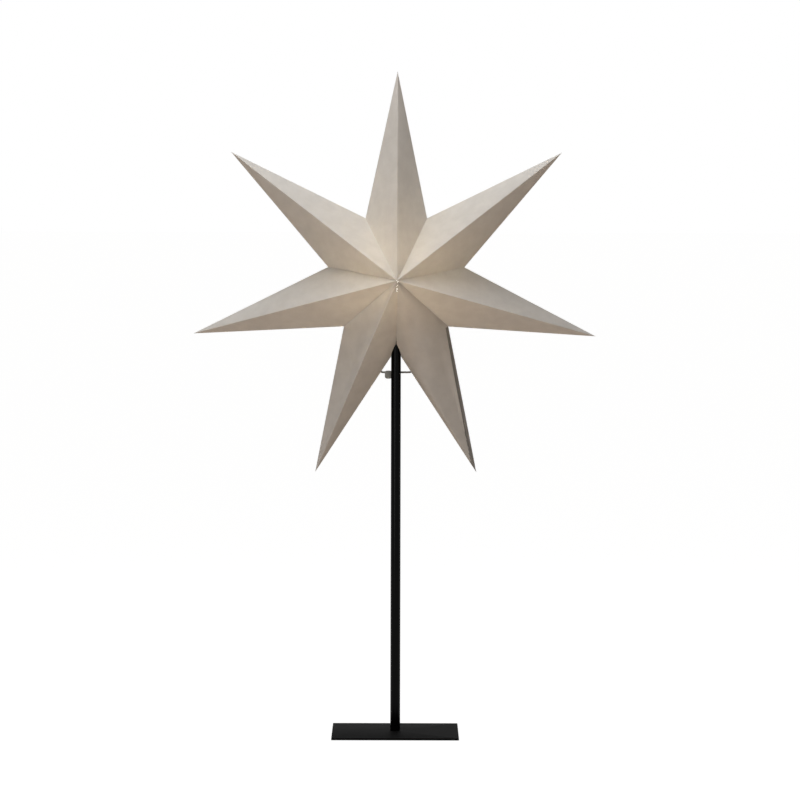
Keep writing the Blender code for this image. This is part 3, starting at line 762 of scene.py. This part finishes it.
def make_bulb():
    tip_radius = BULB_TIP_DIAMETER / 2
    bottom, height = foot_and_height("bulb_tip")
    profile = domed_profile(tip_radius, height, height * BULB_TIP_ROUNDING)
    tip = turned_mesh(profile, SMALL_ROUND)
    add_piece("solder_tip", lifted(tip, bottom), "bulb", "bulb_tip")
    bottom, height = foot_and_height("bulb_insulator")
    insulator = turned_mesh(soft_profile([
        (0, height, 0),
        (0, 0, 0),
        (tip_radius, 0, FINE_FILLET),
        (BULB_INSULATOR_TOP / 2, height - GAP, BULB_INSULATOR_FILLET),
        (BULB_INSULATOR_TOP / 2, height, 0),
    ]), SMALL_ROUND)
    add_piece("cap_insulator", lifted(insulator, bottom), "bulb", "bulb_insulator")
    make_screw_cap()
    make_collar()
    make_globe()


def make_screw_cap():
    bottom, height = foot_and_height("bulb_cap")
    outer = high("bulb_cap")[0]
    inner = outer - BULB_CAP_WALL

    def threaded(radius, level, angle):
        if radius < outer - SAME_SIZE:
            return radius
        fade = min(1.0, max(0.0, min(level - THREAD_START, THREAD_END - level) / (THREAD_PITCH / 2)))
        return radius - THREAD_DEPTH * fade * swing(2 * math.pi * level / THREAD_PITCH - angle)

    rows = round((THREAD_END - THREAD_START) / THREAD_PITCH * THREAD_ROWS_PER_TURN)
    levels = [THREAD_START + (THREAD_END - THREAD_START) * row / rows for row in range(rows + 1)]
    profile = [(outer, level) for level in levels]
    profile += [(outer, height), (inner, height), (inner, BULB_CAP_WALL)]
    profile += [(BULB_TIP_DIAMETER / 2, BULB_CAP_WALL), (BULB_TIP_DIAMETER / 2, 0)]
    profile += [(inner, 0), (outer - BULB_CAP_WALL / 4, BULB_CAP_WALL / 2)]
    cap = turned_mesh(profile, FINE_ROUND, threaded)
    add_piece("screw_cap", lifted(cap, bottom), "bulb", "bulb_cap")


def make_collar():
    top = high("bulb_collar")[2]
    radius = high("bulb_collar")[0]
    bottom = low("bulb_collar")[2]
    foot = bottom + COLLAR_PLUG_DEPTH
    plug = high("bulb_cap")[0] - BULB_CAP_WALL - GAP
    collar = turned_mesh(soft_profile([
        (0, top, 0),
        (0, bottom, 0),
        (plug, bottom, FINE_FILLET),
        (plug, foot, 0),
        (COLLAR_FOOT_DIAMETER / 2, foot, COLLAR_FOOT_FILLET),
        (COLLAR_FOOT_DIAMETER / 2 + COLLAR_NECK_FLARE, foot + COLLAR_NECK_HEIGHT, COLLAR_NECK_FILLET),
        (radius - COLLAR_SHOULDER_INSET, top - COLLAR_SHOULDER_DROP, COLLAR_SHOULDER_FILLET),
        (radius, top, FINE_FILLET),
    ]))
    add_piece("bulb_body", collar, "bulb", "bulb_collar")


def make_globe():
    bottom = low("bulb_globe")[2]
    radius = high("bulb_globe")[0]
    middle = high("bulb_globe")[2] - radius
    outer_arc, inner_arc = (globe_arc(reach, bottom, middle) for reach in (radius, radius - GLOBE_WALL))
    globe = turned_mesh(outer_arc + inner_arc[::-1])
    add_piece("opal_globe", globe, "bulb", "bulb_globe")


def globe_arc(radius, bottom, middle):
    """Points from the foot of the globe up to its top on the axis."""
    start = math.asin((bottom - middle) / radius)
    points = []
    for step in range(GLOBE_ARC_STEPS):
        angle = start + (math.pi / 2 - start) * step / GLOBE_ARC_STEPS
        points.append((radius * math.cos(angle), middle + radius * math.sin(angle)))
    points.append((0, middle + radius))
    return points


# Star


def radial(angle, radius):
    """A point of the star's own frame, by its direction seen from the front."""
    return Vector((radius * math.cos(angle), 0, radius * math.sin(angle)))


def ease(value):
    """0 to 1 with a soft start and end."""
    value = min(1.0, max(0.0, value))
    return value * value * (3 - 2 * value)


def hump(share):
    """0 at both ends and 1 in the middle."""
    return 4 * share * (1 - share)


def point_directions():
    """Directions of the seven points, evenly spread apart from the narrow seam."""
    spacing = (2 * math.pi - SEAM_SPREAD) / (len(POINT_NAMES) - 1)
    directions = []
    angle = math.pi / 2
    for number in range(len(POINT_NAMES)):
        directions.append(angle)
        angle += SEAM_SPREAD if number == SEAM_AFTER else spacing
    return directions


def tip_place(number, angle):
    right, up = TIP_SHIFTS[POINT_NAMES[number]]
    return radial(angle, TIP_RADIUS) + Vector((right, 0, up))


def apex_place(depth_sign):
    """Where all points meet, on the front or on the back."""
    apex = Vector((0, depth_sign * HALF_DEPTH, 0))
    return apex + FRONT_APEX_SHIFT if depth_sign < 0 else apex


class FoldedPoint:
    """One folded point of the star: two ridges, two side folds and the paper bowed between them.

    Side 0 is the clockwise side, side 1 the anticlockwise one, seen from the front.
    """

    def __init__(self, number, tip_angle, edge_angles):
        self.number = number
        self.tip = tip_place(number, tip_angle)
        self.valleys = [radial(angle, VALLEY_RADIUS) for angle in edge_angles]
        self.inwards = [radial(edge_angles[0] + math.pi / 2, 1.0), radial(edge_angles[1] - math.pi / 2, 1.0)]
        self.edges = ((number - 1) % len(POINT_NAMES), number)
        self.shares = [VALLEY_RADIUS * math.cos(angle - tip_angle) / TIP_RADIUS for angle in edge_angles]
        draws = random.Random(BOW_SEED + number)
        self.bows = {}
        for depth_sign in (-1, 1):
            for side in (0, 1):
                bow = draws.uniform(*BOW_RANGE)
                ripple = draws.uniform(*RIPPLE_RANGE)
                self.bows[depth_sign, side] = (bow, ripple, draws.uniform(0, 2 * math.pi))

    def gap(self, side, along):
        """How far the glued border stands off the middle of the valley."""
        if self.edges[side] != SEAM_AFTER:
            return VALLEY_GAP / 2
        length = along / self.shares[side]
        near_apex = (SEAM_GAP - VALLEY_GAP) * (1 - ease(along / SEAM_GAP_END))
        near_pole = (SEAM_MOUTH_GAP - VALLEY_GAP) * ease((length - SEAM_MOUTH_START) / (1 - SEAM_MOUTH_START))
        return (VALLEY_GAP + near_apex + near_pole) / 2

    def border(self, side, depth_sign, along):
        """The facet's outer border: the glued valley first, then the side fold out to the tip."""
        apex = apex_place(depth_sign)
        share = self.shares[side]
        valley = self.valleys[side]
        shift = self.inwards[side] * self.gap(side, min(along, share))
        if along <= share:
            place = apex.lerp(valley, along / share) + shift
            if self.edges[side] in WAVY_VALLEYS:
                wave = math.sin(2 * math.pi * WAVE_TURNS * along / share + self.edges[side])
                tangent = radial(math.atan2(valley.z, valley.x) + math.pi / 2, 1.0)
                fade = math.sin(math.pi * along / share)
                place += tangent * (WAVE_HEIGHT * wave * fade)
                if self.tip.z > valley.z:
                    place.y += depth_sign * OVERHANG * fade
            return place
        onward = (along - share) / (1 - share)
        return (valley + shift).lerp(self.tip, onward)

    def is_flattened(self, depth_sign):
        """The front of the lower right point has a flattened ridge and a flange along its right fold."""
        return POINT_NAMES[self.number] == "lower_right" and depth_sign < 0

    def columns(self, side, depth_sign, along):
        """Shares of the facet's width, from the ridge to the border; the last two bound a flange."""
        inner = FACET_COLUMNS / (FACET_COLUMNS + FLANGE_COLUMNS)
        step = 1 / (FACET_COLUMNS + FLANGE_COLUMNS)
        if self.is_flattened(depth_sign) and side == 1:
            apex = apex_place(depth_sign)
            across = self.border(side, depth_sign, along) - apex.lerp(self.tip, along)
            width = max(FLANGE_STEP, math.hypot(across.x, across.z))
            inner = 1 - min(LARGEST_FLANGE_SHARE, self.flange_width(along) / width)
            step = min(FLANGE_STEP / width, (1 - inner) / 2)
        return [inner * n / FACET_COLUMNS for n in range(FACET_COLUMNS + 1)] + [inner + step, 1.0]

    def flange_width(self, along):
        """The flange is narrower where it starts, at the valley."""
        growth = ease((along - self.shares[1]) / FLANGE_GROWTH)
        return FLANGE_WIDTH * (FLANGE_START_SHARE + (1 - FLANGE_START_SHARE) * growth)

    def place(self, side, depth_sign, along, across, fold):
        """A point of the sheet: along runs from apex to tip, across from the ridge to the border."""
        apex = apex_place(depth_sign)
        ridge = apex.lerp(self.tip, along)
        border = self.border(side, depth_sign, along)
        pinch = NIB_PINCH * ease((along - NIB_START) / NIB_LENGTH)
        border = border.lerp(Vector((ridge.x, border.y, ridge.z)), pinch)
        normal = (self.tip - apex).cross(self.valleys[side] - apex).normalized()
        if normal.y * depth_sign < 0:
            normal.negate()
        bow, ripple, phase = self.bows[depth_sign, side]
        swell = math.sin(math.pi * along * BOW_RATE) ** BOW_POWER if along < BOW_END else 0.0
        wave = math.sin(2 * math.pi * RIPPLE_TURNS * along + phase)
        lift = hump(across) * swell * (bow + ripple * wave)
        if POINT_NAMES[self.number] == "lower_left" and side == 0 and depth_sign < 0:
            lift -= SOFT_BEND_DEPTH * swell * self.bend(across)
        place = ridge.lerp(border, across) + normal * lift
        if self.is_flattened(depth_sign):
            sunk = self.flattening(side, along, across, fold)
        else:
            fade = min(1.0, (1 - along) / RIDGE_FADE_LENGTH)
            sunk = RIDGE_ROUNDING * ease(1 - across / RIDGE_SHARE) * fade
        place.y -= depth_sign * sunk
        return place

    def flattening(self, side, along, across, fold):
        """How far the front of the flattened point lies behind its plain folded shape."""
        height = HALF_DEPTH * (1 - along)
        plain = height * (1 - across)
        rounded = plain - FLATTENING * height * (1 - across) ** 2
        if side == 1:
            turned = TURNED_HEIGHT * plain
        else:
            turned = TURNED_HEIGHT * height * (1 + across) * (1 - across ** TURNED_EDGE_POWER)
        turn = ease((along - TURN_START) / TURN_LENGTH)
        drop = plain - rounded - (turned - rounded) * turn
        if side == 1 and across <= fold:
            grow = ease((along - self.shares[side] * FLANGE_RISE_FROM) / FLANGE_RISE_LENGTH)
            grow *= min(1.0, (1 - along) * FLANGE_TIP_FADE)
            drop -= FLANGE_DEPTH * grow * ease((across - FLANGE_RISE_START) / (fold - FLANGE_RISE_START))
        return drop * ease(along / FLATTENING_REACH)

    @staticmethod
    def bend(across):
        """A soft crease along the facet, deepest at its place."""
        if across < SOFT_BEND_PLACE:
            return across / SOFT_BEND_PLACE
        return ease((1 - across) / (1 - SOFT_BEND_PLACE))


def point_mesh(point, laps):
    """The folded sheet of one point, with its glue laps, facing outwards."""
    shape = bmesh.new()
    start = APEX_HOLE_RADIUS / TIP_RADIUS
    nearer, farther = sorted(point.shares)
    rows = [start + (nearer - start) * n / INNER_ROWS for n in range(INNER_ROWS)]
    if farther - nearer > SAME_PLACE:
        rows.append(nearer)
    rows += [farther + (1 - farther) * n / OUTER_ROWS for n in range(OUTER_ROWS + 1)]
    for depth_sign in (-1, 1):
        for side in (0, 1):
            grid = []
            for row in rows:
                columns = point.columns(side, depth_sign, row)
                fold = columns[FACET_COLUMNS]
                grid.append([
                    shape.verts.new(point.place(side, depth_sign, row, column, fold)) for column in columns
                ])
            flip = (side == 1) == (depth_sign < 0)
            for below, above in zip(grid, grid[1:]):
                for n in range(FACET_COLUMNS + FLANGE_COLUMNS):
                    corners = [below[n], below[n + 1], above[n + 1], above[n]]
                    shape.faces.new(corners[::-1] if flip else corners)
            if laps[side]:
                glued = [line[-1] for row, line in zip(rows, grid) if row < point.shares[side] + SAME_PLACE]
                add_lap(shape, point, side, glued, flip)
    bmesh.ops.remove_doubles(shape, verts=shape.verts, dist=SAME_PLACE)
    bmesh.ops.dissolve_degenerate(shape, dist=NO_SIZE, edges=shape.edges)
    return finish_mesh(shape, outward=False)


def add_lap(shape, point, side, border, flip):
    """The narrow glued strip that turns inwards along a valley."""
    valley = point.valleys[side]
    slope = math.atan2(HALF_DEPTH, VALLEY_RADIUS)
    inward = -valley.normalized() * (GLUE_LAP / math.sin(slope))
    first = round((1 - GLUE_LAP_REACH) * len(border))
    strip = [(vert, shape.verts.new(vert.co + inward)) for vert in border[first:]]
    for (a, b), (c, d) in zip(strip, strip[1:]):
        corners = [a, b, d, c]
        shape.faces.new(corners[::-1] if flip else corners)


def eyelet_frame(directions, side):
    """Place and outward normal of a tie eyelet, on the back of a lowest point; side is -1 or 1."""
    number = SEAM_AFTER if side < 0 else SEAM_AFTER + 1
    tip = tip_place(number, directions[number])
    valley = Vector((0, 0, -VALLEY_RADIUS))
    apex = apex_place(1)
    normal = (tip - valley).cross(apex - valley).normalized()
    if normal.y < 0:
        normal.negate()
    fold = (tip - valley).normalized()
    on_fold = valley + fold * (TIE_BELOW_VALLEY / -fold.z)
    across = normal.cross(fold)
    if across.x * side < 0:
        across.negate()
    return on_fold + across * EYELET_INSET, normal


def frame_along(place, normal):
    """A matrix that carries +Z to the normal and the origin to the place."""
    return Matrix.Translation(place) @ normal.to_track_quat("Z", "Y").to_matrix().to_4x4()


def make_star():
    directions = point_directions()
    spacing = directions[1] - directions[0]
    edges = [angle + (SEAM_SPREAD if n == SEAM_AFTER else spacing) / 2 for n, angle in enumerate(directions)]
    for number, point_name in enumerate(POINT_NAMES):
        before = edges[number - 1] - (2 * math.pi if number == 0 else 0)
        point = FoldedPoint(number, directions[number], (before, edges[number]))
        laps = (number != SEAM_AFTER + 1, number != SEAM_AFTER)
        tools = lower_point_tools(directions, SEAM_SIDES[number]) if number in SEAM_SIDES else []
        data = worked(point_mesh(point, laps), tools, point.tip)
        flange = flange_faces(data, point) if point.is_flattened(-1) else []
        data.transform(Matrix.Translation(STAR_CENTRE))
        # The lower right point's front gets paper darkened with painted shade
        look = "lined_paper" if flange else "star_paper"
        add_piece("paper_point_" + point_name, data, "star", "star_point_" + point_name, look)
        # The flange's front faces take the dark sheet of painted shade
        if flange:
            data.materials.append(LOOKS["glued_flange"])
        for face in flange:
            data.polygons[face].material_index = 1
    for side, word in ((-1, "left"), (1, "right")):
        make_eyelet(directions, side, word)


def flange_faces(data, point):
    """Numbers of the faces on the front of the flange along the point's right fold."""
    valley = point.valleys[1]
    onward = (point.tip - valley).normalized()
    found = []
    for face in data.polygons:
        offset = face.center - valley
        flat = Vector((offset.x, 0, offset.z))
        along = flat.dot(onward)
        across = (flat - onward * along).length
        share = point.shares[1] + (1 - point.shares[1]) * along / (point.tip - valley).length
        is_front = face.center.y < GAP and face.normal.y < 0
        if along > 0 and across < point.flange_width(share) and is_front:
            found.append(face.index)
    return found


def lower_point_tools(directions, side):
    """Cutters for the pole's way in and for the tie's eyelet."""
    lowest, highest = (share * VALLEY_RADIUS for share in POLE_WAY)
    pole_way = rod_mesh(POLE_RADIUS + GAP, lowest, highest)
    place, normal = eyelet_frame(directions, side)
    hole = rod_mesh(EYELET_BORE / 2 + EYELET_WALL + GAP / 2, -2 * CUT_MARGIN, 2 * CUT_MARGIN)
    hole.transform(frame_along(place, normal))
    return [pole_way, hole]


def make_eyelet(directions, side, word):
    place, normal = eyelet_frame(directions, side)
    flange = EYELET_FLANGE_DIAMETER / 2
    bore = EYELET_BORE / 2
    neck = bore + EYELET_WALL
    under = -CAD_PAPER_THICKNESS - GAP
    rim = EYELET_FLANGE_THICKNESS
    data = turned_mesh(soft_profile([
        (flange, GAP + rim, rim * EYELET_OUTER_ROUNDING),
        (bore, GAP + rim, rim * EYELET_BORE_ROUNDING),
        (bore, under - rim, rim * EYELET_BORE_ROUNDING),
        (flange, under - rim, rim * EYELET_OUTER_ROUNDING),
        (flange, under, 0),
        (neck, under, 0),
        (neck, GAP, 0),
        (flange, GAP, 0),
    ]), SMALL_ROUND)
    data.transform(Matrix.Translation(STAR_CENTRE) @ frame_along(place, normal))
    add_piece("tie_eyelet_" + word, data, "star", "eyelet_" + word)


# Tie


def make_tie():
    """The cord that closes the seam behind the pole, knotted inside both lowest points, with its stop."""
    right, normal = eyelet_frame(point_directions(), 1)
    inside = CAD_PAPER_THICKNESS + EYELET_FLANGE_THICKNESS + 2 * GAP
    stop_low, stop_high = (Vector(corner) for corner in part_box("cord_stop"))
    travel = next(j["range_m"][1] for j in frame["joints"] if j["name"] == "stop_slide")
    reach = -stop_low.x + travel
    half = [
        Vector((0, TIE_DEPTH, TIE_LEVEL)),
        Vector((POLE_RADIUS, TIE_DEPTH, TIE_LEVEL)),
        Vector((reach, TIE_DEPTH, TIE_LEVEL)),
        right + normal * (TIE_DIAMETER + EYELET_FLANGE_THICKNESS),
        right,
        right - normal * inside,
        right - normal * (inside + TIE_KNOT_LENGTH),
    ]
    whole = [Vector((-place.x, place.y, place.z)) for place in half[:0:-1]] + half
    data = twisted_cord_mesh(whole)
    data.transform(Matrix.Translation(STAR_CENTRE))
    add_piece("tie_cord", data, "star", "closing_cord")
    size = stop_high - stop_low
    middle = (stop_low + stop_high) / 2
    outline = rounded_outline(size.x, size.z, STOP_CORNER_RADIUS)
    stop = slab_mesh(outline, -size.y / 2, size.y / 2, STOP_EDGE_RADIUS)
    stop.transform(Matrix.Translation(middle) @ Matrix.Rotation(math.pi / 2, 4, "X"))
    drill = rod_mesh(STOP_BORE / 2, -size.x, size.x)
    cord_place = STAR_CENTRE + Vector((middle.x, TIE_DEPTH, TIE_LEVEL))
    drill.transform(Matrix.Translation(cord_place) @ Matrix.Rotation(math.pi / 2, 4, "Y"))
    add_piece("tie_stop_block", worked(stop, [drill]), "tie_stop", "cord_stop")


def smooth_route(points, step):
    """Points at an even step along straight runs, with the corners eased."""
    route = []
    for start, end in zip(points, points[1:]):
        count = max(1, round((end - start).length / step))
        route += [start.lerp(end, n / count) for n in range(count)]
    route.append(points[-1])
    for _ in range(ROUTE_EASINGS):
        route = [route[0]] + [
            (before + here * 2 + after) / 4 for before, here, after in zip(route, route[1:], route[2:])
        ] + [route[-1]]
    return route


def twisted_cord_mesh(points):
    """A cord of twisted strands that swells to a knot at both ends."""
    route = smooth_route(points, TIE_DIAMETER / 4)
    lengths = [0.0]
    for before, here in zip(route, route[1:]):
        lengths.append(lengths[-1] + (here - before).length)
    shape = bmesh.new()
    sides = SMALL_ROUND // 2
    side_axis = Vector((0, 0, 1))
    rings = []
    for number, place in enumerate(route):
        onward = route[min(number + 1, len(route) - 1)] - route[max(number - 1, 0)]
        onward.normalize()
        side_axis = (side_axis - onward * side_axis.dot(onward)).normalized()
        other = onward.cross(side_axis)
        from_end = min(lengths[number], lengths[-1] - lengths[number])
        swell = math.sin(math.pi * min(1.0, from_end / TIE_KNOT_LENGTH))
        radius = (TIE_DIAMETER + (TIE_KNOT_DIAMETER - TIE_DIAMETER) * swell) / 2
        twist = 2 * math.pi * lengths[number] / STRAND_PITCH
        ring = []
        for side in range(sides):
            angle = 2 * math.pi * side / sides
            lobe = abs(math.cos((angle * STRANDS - twist) / 2))
            reach = radius * (1 - STRAND_DEPTH * (1 - lobe))
            ring.append(shape.verts.new(
                place + reach * (math.cos(angle) * side_axis + math.sin(angle) * other)
            ))
        rings.append(ring)
    add_skin(shape, rings)
    shape.faces.new(rings[0][::-1])
    shape.faces.new(rings[-1])
    return finish_mesh(shape)


# Light, floor and camera


def area_light(name, place, aim, size, power, colour):
    """A soft light of that width and height, facing its aim."""
    data = bpy.data.lights.new(name, "AREA")
    data.shape = "RECTANGLE"
    data.size, data.size_y = size
    data.energy = power
    data.color = colour
    made = new_object(name, data)
    made.location = place
    made.rotation_euler = (Vector(aim) - Vector(place)).to_track_quat("-Z", "Y").to_euler()


def seen_directly(tree):
    """1 where the camera sees a surface, also in a mirror or through glass."""
    path = add_node(tree, "ShaderNodeLightPath")
    total = path.outputs["Is Camera Ray"]
    for name in ("Is Glossy Ray", "Is Transmission Ray"):
        either = add_node(tree, "ShaderNodeMath", operation="MAXIMUM")
        tree.links.new(total, either.inputs[0])
        tree.links.new(path.outputs[name], either.inputs[1])
        total = either.outputs[0]
    return total


def make_world():
    world = bpy.data.worlds.new("studio")
    bpy.context.scene.world = world
    world.use_nodes = True
    tree = world.node_tree
    tree.nodes.clear()
    ambient = add_node(tree, "ShaderNodeBackground", {"Color": (*AMBIENT_COLOUR, 1.0)})
    where = add_node(tree, "ShaderNodeTexCoord")
    slope = add_node(tree, "ShaderNodeVectorMath", {1: AMBIENT_SLOPE}, operation="DOT_PRODUCT")
    level = add_node(tree, "ShaderNodeMath", {1: AMBIENT}, operation="ADD")
    white = add_node(tree, "ShaderNodeBackground", {"Color": (*WHITE, 1.0)})
    output = add_node(tree, "ShaderNodeOutputWorld")
    link = tree.links.new
    link(where.outputs["Generated"], slope.inputs[0])
    link(slope.outputs["Value"], level.inputs[0])
    link(level.outputs["Value"], ambient.inputs["Strength"])
    share = show_mix(tree, output, ambient.outputs["Background"], white.outputs["Background"])
    link(seen_directly(tree), share)


def make_floor():
    """A floor that lights the object as a pale one does and looks white, with the object's shadow."""
    shape = bmesh.new()
    bmesh.ops.create_grid(shape, x_segments=1, y_segments=1, size=FLOOR_REACH)
    data = bpy.data.meshes.new("floor")
    shape.to_mesh(data)
    shape.free()
    made, tree, shader = new_material("floor_white")
    set_inputs(shader, {
        "Base Color": (*FLOOR_COLOUR, 1.0),
        "Roughness": FLOOR_ROUGHNESS,
        "Specular IOR Level": 0.0,
    })
    shown = add_node(tree, "ShaderNodeBsdfDiffuse", {"Color": (*FLOOR_SHADE, 1.0)})
    glow = add_node(tree, "ShaderNodeEmission", {"Strength": FLOOR_WHITE})
    both = add_node(tree, "ShaderNodeAddShader")
    link = tree.links.new
    link(shown.outputs["BSDF"], both.inputs[0])
    link(glow.outputs["Emission"], both.inputs[1])
    output = tree.nodes["Material Output"]
    share = show_mix(tree, output, shader.outputs["BSDF"], both.outputs["Shader"])
    link(seen_directly(tree), share)
    data.materials.append(made)
    new_object("floor", data)


def make_camera():
    data = bpy.data.cameras.new("camera")
    data.lens = PIXELS_PER_METRE * CAMERA_DISTANCE / PICTURE_SIDE * data.sensor_width
    data.clip_end = VIEW_END
    place = Vector((CAMERA_SIDE, -CAMERA_DISTANCE, CAMERA_HEIGHT))
    aim = Vector((CAMERA_SIDE, 0, AIM_HEIGHT))
    turn = (aim - place).to_track_quat("-Z", "Y").to_matrix().to_4x4()
    made = new_object("camera", data)
    made.matrix_world = Matrix.Translation(place) @ turn @ Matrix.Rotation(CAMERA_ROLL, 4, "Z")
    bpy.context.scene.camera = made


def make_light():
    area_light("key", STAR_CENTRE + KEY_OFFSET, STAR_CENTRE, KEY_SIZE, KEY_POWER, KEY_COLOUR)
    area_light("strip", STRIP_PLACE, (0, 0, STRIP_PLACE.z), STRIP_SIZE, STRIP_POWER, WHITE)


def main():
    bpy.context.scene.view_settings.view_transform = "Standard"
    make_camera()
    for name, node in frame["nodes"].items():
        paint(node.data, name)
    make_foot()
    make_pole()
    make_holder()
    make_bulb()
    make_star()
    make_tie()
    make_world()
    make_floor()
    make_light()


main()
